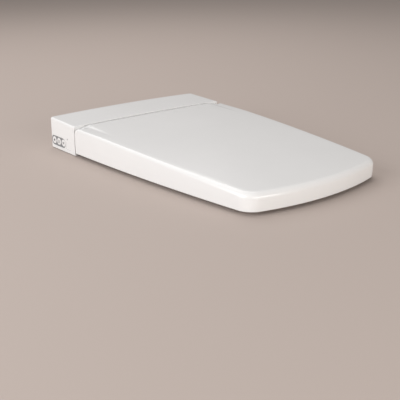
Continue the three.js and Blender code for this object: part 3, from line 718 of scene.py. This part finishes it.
def bar_sign(mesh, at, offset, size, thick, lean=0.0):
    place = Matrix.Translation((at.x, at.y + offset[0], at.z + offset[1])) @ Matrix.Rotation(lean, 4, "X")
    bmesh.ops.create_cube(mesh, size=1, matrix=place @ Matrix.Diagonal((thick, size[0], size[1], 1)))


KEY_RADIUS = 7.6 * MM
SIGN_THICK = 0.12 * MM
for key in KEYS:
    low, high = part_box(key)
    middle = node_middle(key)
    depth = high[0] - low[0]
    profile = [
        (0, 0.25 * MM),
        (4.8 * MM, 0.1 * MM),
        (KEY_RADIUS - 1.0 * MM, 0),
        (KEY_RADIUS - 0.3 * MM, 0.2 * MM),
        (KEY_RADIUS, 0.8 * MM),
        (KEY_RADIUS, depth - 2.6 * MM),
        (KEY_RADIUS + 1 * MM, depth - 2.5 * MM),
        (KEY_RADIUS + 1 * MM, depth - 1.6 * MM),
        (2 * MM, depth - 1.5 * MM),
        (2 * MM, depth),
        (0, depth),
    ]
    cap = turned(profile, (low[0], middle.y, middle.z), (1, 0, 0), f"{key}_cap", key_white)
    body = {"key_stop": "stop_key", "key_wash": "wash_key", "key_dry": "dry_key"}[key]
    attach(cap, body)
    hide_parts(key)
    sign_mesh = bmesh.new()
    face_at = Vector((low[0] + 0.16 * MM, middle.y, middle.z))
    if key == "key_stop":
        bar_sign(sign_mesh, face_at, (0, 0), (4.2 * MM, 4.2 * MM), SIGN_THICK)
    elif key == "key_wash":
        for step in range(3):
            disc_sign(sign_mesh, face_at, ((step - 1) * 2.3 * MM, (1 - step % 2) * 1.6 * MM), 1.0 * MM, SIGN_THICK)
        bar_sign(sign_mesh, face_at, (0, -2.2 * MM), (5.6 * MM, 1.1 * MM), SIGN_THICK)
    else:
        for step in range(3):
            bar_sign(sign_mesh, face_at, ((step - 1) * 2.2 * MM, 0), (0.9 * MM, 4.6 * MM), SIGN_THICK, 0.35)
    sign = finished(sign_mesh, f"{key}_sign", key_print)
    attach(sign, body)


# ---- Lens, receiver and release button ---------------------------------------------------------
# Beside the keys a tiny smoked lens covers the indicator lamp, and a rounded-square window hides the
# receiver of the remote control. The grey button on the other side frees the seat from its plate.

smoked = plastic("smoked_lens", (0.22, 0.23, 0.24), 0.08, 1500.0, 0.02, coat=0.6)
lens_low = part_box("status_lens")[0]
lens_profile = [(0, 0), (1.0 * MM, 0.12 * MM), (1.5 * MM, 0.5 * MM), (1.5 * MM, 2.6 * MM), (0, 2.6 * MM)]
lens = turned(lens_profile, (lens_low[0], lens_at.y, lens_at.z), (1, 0, 0), "indicator_lens", smoked, 24)
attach(lens, "base")
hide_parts("status_lens")

window_mesh = bmesh.new()
soft_square(window_mesh, window_at[1][0], window_at[0][0], window_at, 0, WINDOW_CORNER)
window = rounded(finished(window_mesh, "receiver_pane", gloss_white), 0.3 * MM)
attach(window, "base")
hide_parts("receiver_window")

mid_grey = plastic("mid_grey", (0.33, 0.34, 0.355), 0.45, 1300.0, 0.3)
release_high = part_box("release_button")[1]
release_profile = [
    (0, 0.5 * MM),
    (5.0 * MM, 0.3 * MM),
    (7.2 * MM, 0),
    (8.0 * MM, 0.7 * MM),
    (8.0 * MM, 3.2 * MM),
    (9.0 * MM, 3.2 * MM),
    (9.0 * MM, 4.6 * MM),
    (0, 4.6 * MM),
]
release = turned(
    release_profile, (release_high[0], release_at.y, release_at.z), (-1, 0, 0), "release_cap", mid_grey
)
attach(release, "release")
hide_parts("release_button")


# ---- Seat underside ----------------------------------------------------------------------------
# A satin plate closes the ring from below and carries four soft bumpers that stand on the bowl's rim.
# The lid has four smaller bumpers of its own, which rest on the seat.

PLATE_INSET = 3.4 * MM
PLATE_THICK = 1.8 * MM
LEDGE_NEAR = 110 * MM  # the tray's ledge starts behind this


def plate_rings():
    outer, inner = ring_edges(PLATE_INSET)
    rings = []
    for share, lift in ((0, 0.5), (0.02, 0.1), (0.1, 0.1), (0.14, 1), (0.86, 1), (0.9, 0.1), (0.98, 0.1), (1, 0.5)):
        at = [p.lerp(q, share) for p, q in zip(outer, inner)]
        rings.append([(p.x, p.y, RING_BOTTOM + lift * MM) for p in at])
    return rings


plate_mesh = bmesh.new()
skin(plate_mesh, plate_rings())
seat_plate = finished(plate_mesh, "seat_base_plate", satin_white)
plate_wall = seat_plate.modifiers.new("wall", "SOLIDIFY")
plate_wall.thickness = PLATE_THICK
plate_wall.offset = 1
ledge_room = bmesh.new()
block_of(ledge_room, -STEP_HALF, STEP_HALF, LEDGE_NEAR, STEP_FAR, 0, STEP_HEIGHT)
cut_out(seat_plate, ledge_room, "ledge_room")

step_mesh = bmesh.new()
wall_half, wall_far = STEP_HALF + PLATE_THICK, STEP_FAR + PLATE_THICK
block_of(
    step_mesh, -wall_half, wall_half, RING_START + PLATE_INSET, wall_far, RING_BOTTOM, STEP_HEIGHT + PLATE_THICK
)
step_plate = finished(step_mesh, "seat_base_step", satin_white)
step_room = bmesh.new()
block_of(step_room, -STEP_HALF, STEP_HALF, LEDGE_NEAR, STEP_FAR, 0, STEP_HEIGHT)
cut_out(step_plate, step_room, "step_room")
opening_room = bmesh.new()
wide, long = OPENING_WIDE + PLATE_INSET, OPENING_LONG + PLATE_INSET
oval = Matrix.Translation((0, WALL - OPENING_CENTRE, 0.02)) @ Matrix.Diagonal((wide, long, 1, 1))
bmesh.ops.create_cone(opening_room, cap_ends=True, segments=160, radius1=1, radius2=1, depth=0.1, matrix=oval)
cut_out(step_plate, opening_room, "opening_room")
for plate in (seat_plate, step_plate):
    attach(plate, "seat")
    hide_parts("seat_base")

rubber = plastic("soft_grey", (0.46, 0.47, 0.48), 0.72, 700.0, 0.5)


def standing_pad(node, body, radius, point):
    """A round soft pad with a domed lower face, in a node's place."""
    low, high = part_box(node)
    tall = high[2] - low[2]
    edge = min(0.35 * tall, 1.2 * MM)
    shape = [(0, 0), (radius - 2.2 * edge, 0.02 * MM), (radius - edge, 0.25 * edge), (radius - 0.2 * edge, edge)]
    shape += [(radius, 1.8 * edge), (radius, tall), (0, tall)]
    middle = node_middle(node)
    pad = turned(shape, (middle.x, middle.y, low[2]), (0, 0, 1), f"{node}_{point}", rubber, 40)
    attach(pad, body)
    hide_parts(node)


for count in range(1, 5):
    standing_pad(f"seat_bumper_{count}", "seat", 9 * MM, "foot")
    standing_pad(f"lid_bumper_{count}", "lid", 5 * MM, "stud")
    standing_pad(f"base_pad_{count}", "base", 10 * MM, "disc")


# ---- Hinges ------------------------------------------------------------------------------------
# Two grey posts stand on the tray's ledge and hold the steel pins. Between them are the two oil dampers
# that let seat and lid down slowly, each with a ribbed barrel and a foot.

pin_steel = plastic("pin_steel", (0.55, 0.56, 0.58), 0.28, 2600.0, 0.15)
pin_steel.node_tree.nodes["Principled BSDF"].inputs["Metallic"].default_value = 1
POST_FOOT = 26.4 * MM
STAND_RADIUS, ROD_RADIUS, BARREL_RADIUS, RIB_RADIUS = 5.2 * MM, 2.45 * MM, 5.9 * MM, 6.2 * MM
for side, sign in (("left", 1), ("right", -1)):
    post_mesh = bmesh.new()
    cylinder_across(post_mesh, sign * 140 * MM, sign * 158 * MM, HINGE, HINGE_Z, STAND_RADIUS)
    block_of(post_mesh, sign * 140.2 * MM, sign * 157.8 * MM, HINGE - 2.4 * MM, HINGE + 5.3 * MM, POST_FOOT, HINGE_Z)
    for rib in (0, 1):
        edge = sign * (144.5 + 9 * rib) * MM
        block_of(post_mesh, edge, edge + 1.4 * MM * sign, HINGE - 2.5 * MM, HINGE + 5.5 * MM, POST_FOOT, 46 * MM)
    post = rounded(finished(post_mesh, f"hinge_stand_{side}", mid_grey), 0.5 * MM)
    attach(post, "base")
    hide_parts(f"hinge_post_{side}")
    pin_mesh = bmesh.new()
    cylinder_across(pin_mesh, sign * 117.1 * MM, sign * 176.9 * MM, HINGE, HINGE_Z, ROD_RADIUS, 32)
    pin = rounded(finished(pin_mesh, f"hinge_rod_{side}", pin_steel), 0.4 * MM)
    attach(pin, "base")
    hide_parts(f"hinge_pin_{side}")
    damper_mesh = bmesh.new()
    cylinder_across(damper_mesh, sign * 64.2 * MM, sign * 113.8 * MM, HINGE, HINGE_Z, BARREL_RADIUS)
    for rib in range(5):
        start = (65 + 11.2 * rib) * MM
        cylinder_across(damper_mesh, sign * start, sign * (start + 2.6 * MM), HINGE, HINGE_Z, RIB_RADIUS)
    block_of(damper_mesh, sign * 70.2 * MM, sign * 107.8 * MM, HINGE - 1.9 * MM, HINGE + 4.9 * MM, POST_FOOT, HINGE_Z)
    damper = rounded(finished(damper_mesh, f"damper_barrel_{side}", mid_grey), 0.4 * MM)
    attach(damper, "base")
    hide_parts("seat_damper" if sign > 0 else "lid_damper")


# ---- Spray nozzle ------------------------------------------------------------------------------
# A polished steel wand slides out of the tray at ten degrees, driven by a rack on its back. Its white tip
# has a rounded nose and two rows of fine spray holes on top.

TILT = radians(10)
TIP_AT = Vector((0, WALL - 147 * MM, 12 * MM))
ALONG = Vector((0, cos(TILT), sin(TILT)))  # from the tip back into the housing
UP = Vector((0, -sin(TILT), cos(TILT)))
WAND_RADIUS = 5.45 * MM

wand_shape = [(0, 12.35 * MM), (5.0 * MM, 12.35 * MM), (WAND_RADIUS, 12.8 * MM)]
wand_shape += [(WAND_RADIUS, 104.2 * MM), (5.0 * MM, 104.9 * MM), (0, 104.9 * MM)]
wand = turned(wand_shape, TIP_AT, ALONG, "nozzle_tube", pin_steel, 64)
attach(wand, "nozzle")
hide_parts("nozzle_wand")

nose = [(0, 0.1 * MM), (2.2 * MM, 0.3 * MM), (3.9 * MM, 1.1 * MM), (5.0 * MM, 2.4 * MM), (WAND_RADIUS, 4.2 * MM)]
nose += [(WAND_RADIUS, 11.4 * MM), (5.1 * MM, 11.9 * MM), (0, 11.9 * MM)]
tip = turned(nose, TIP_AT, ALONG, "nozzle_nose", gloss_white, 64)
spray_holes = bmesh.new()
for row in range(2):
    for column in range(3):
        at = TIP_AT + ALONG * (5.2 + 2.2 * row) * MM + UP * WAND_RADIUS + Vector(((column - 1) * 1.5 * MM, 0, 0))
        turn = Matrix.Translation(at) @ Matrix.Rotation(TILT, 4, "X")
        bmesh.ops.create_cone(
            spray_holes, cap_ends=True, segments=16, radius1=0.45 * MM, radius2=0.45 * MM, depth=3 * MM, matrix=turn
        )
cut_out(tip, spray_holes, "spray_holes")
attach(tip, "nozzle")
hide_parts("nozzle_tip")


# ---- Back of the housing -----------------------------------------------------------------------
# The water inlet is a brass stub with a thread and a round collar. The power gland beside it is black,
# with a ribbed sleeve. Both have open bores.


def grained_metal(name, colour, roughness, stretch, depth):
    """Metal with fine lines along one direction, streaked in gloss and slightly uneven in tone."""
    material = bpy.data.materials.new(name)
    material.use_nodes = True
    nodes, links = material.node_tree.nodes, material.node_tree.links
    shader = nodes["Principled BSDF"]
    shader.inputs["Metallic"].default_value = 1
    place, scale = nodes.new("ShaderNodeTexCoord"), nodes.new("ShaderNodeMapping")
    scale.inputs["Scale"].default_value = stretch
    lines = nodes.new("ShaderNodeTexNoise")
    lines.inputs["Scale"].default_value = 260
    lines.inputs["Detail"].default_value = 4
    gloss = nodes.new("ShaderNodeMapRange")
    gloss.inputs["To Min"].default_value, gloss.inputs["To Max"].default_value = roughness - 0.08, roughness + 0.1
    tone = nodes.new("ShaderNodeMix")
    tone.data_type = "RGBA"
    tone.inputs["A"].default_value = (*[0.86 * part for part in colour], 1)
    tone.inputs["B"].default_value = (*colour, 1)
    bump = nodes.new("ShaderNodeBump")
    bump.inputs["Strength"].default_value = depth
    bump.inputs["Distance"].default_value = 0.04 * MM
    links.new(place.outputs["Object"], scale.inputs["Vector"])
    links.new(scale.outputs["Vector"], lines.inputs["Vector"])
    links.new(lines.outputs["Fac"], gloss.inputs["Value"])
    links.new(lines.outputs["Fac"], tone.inputs["Factor"])
    links.new(lines.outputs["Fac"], bump.inputs["Height"])
    links.new(gloss.outputs["Result"], shader.inputs["Roughness"])
    links.new(tone.outputs["Result"], shader.inputs["Base Color"])
    links.new(bump.outputs["Normal"], shader.inputs["Normal"])
    return material


brass = grained_metal("turned_brass", (0.66, 0.49, 0.20), 0.3, (3.0, 0.3, 3.0), 0.3)
black_plastic = plastic("black_plastic", (0.02, 0.021, 0.023), 0.42, 1300.0, 0.3)


def backward(steps):
    """A profile of (radius, distance from the wall) in metres, from millimetres."""
    return [(radius * MM, s * MM) for radius, s in steps]


inlet_at = node_middle("water_inlet")
thread = [(9.2 + 0.7 * (turn % 2), 1.7 + 0.55 * turn) for turn in range(8)]
inlet_shape = [(5, 1.05), (8.6, 1.05), *thread, (9.2, 6.35), (12.9, 6.5), (12.9, 9.9), (9.9, 9.9), (9.9, 12.9)]
inlet_shape += [(5, 12.9), (5, 1.05)]
inlet = turned(backward(inlet_shape), (inlet_at.x, WALL, inlet_at.z), (0, -1, 0), "inlet_stub", brass)
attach(inlet, "base")
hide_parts("water_inlet")

gland_at = node_middle("power_gland")
ribs = [(6.1 + 0.8 * (turn % 2), 1.6 + 0.75 * turn) for turn in range(6)]
gland_shape = [(3.7, 1.1), (5.9, 1.1), *ribs, (6.6, 6.35), (9.8, 6.5), (9.8, 8.9), (6.9, 8.9), (6.9, 11.9)]
gland_shape += [(3.7, 11.9), (3.7, 1.1)]
gland = turned(backward(gland_shape), (gland_at.x, WALL, gland_at.z), (0, -1, 0), "gland_sleeve", black_plastic)
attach(gland, "base")
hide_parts("power_gland")


# ---- Tray, plate and inner parts ---------------------------------------------------------------
# The tray, the mounting plate and everything under the cover keep their own shapes. They get finishes that
# fit what they are made of: satin and black plastic, brushed steel, brass, foil, silicone and green board.

brushed_steel = grained_metal("brushed_steel", (0.56, 0.57, 0.59), 0.34, (0.25, 4.0, 4.0), 0.5)
foil = grained_metal("heater_foil", (0.72, 0.73, 0.75), 0.26, (1.0, 1.0, 1.0), 0.8)
board_green = plastic("board_green", (0.02, 0.13, 0.06), 0.34, 500.0, 0.4, coat=0.4)
silicone = plastic("silicone", (0.66, 0.69, 0.70), 0.4, 800.0, 0.15)
carbon = plastic("carbon_grains", (0.010, 0.010, 0.011), 0.85, 420.0, 1.0)

FINISHES = (
    (satin_white, ("base_tray", "water_heater", "dryer_duct")),
    (brushed_steel, ("mounting_plate", "nozzle_motor", "dryer_motor")),
    (brushed_steel, [f"cover_screw_{count}" for count in range(1, 5)]),
    (mid_grey, ("nozzle_rack", "nozzle_cradle", "dryer_impeller", "dryer_grille")),
    (board_green, ("control_board", "power_board")),
    (foil, ("seat_heater",)),
    (brass, ("nozzle_pinion",)),
    (silicone, ("inlet_hose", "nozzle_hose")),
    (black_plastic, ("solenoid_valve", "air_pump", "dryer_housing", "deodoriser_housing", "transformer")),
    (carbon, ("carbon_filter",)),
)
for material, names in FINISHES:
    for name in names:
        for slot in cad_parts[name].material_slots:
            slot.material = material

low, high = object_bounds()
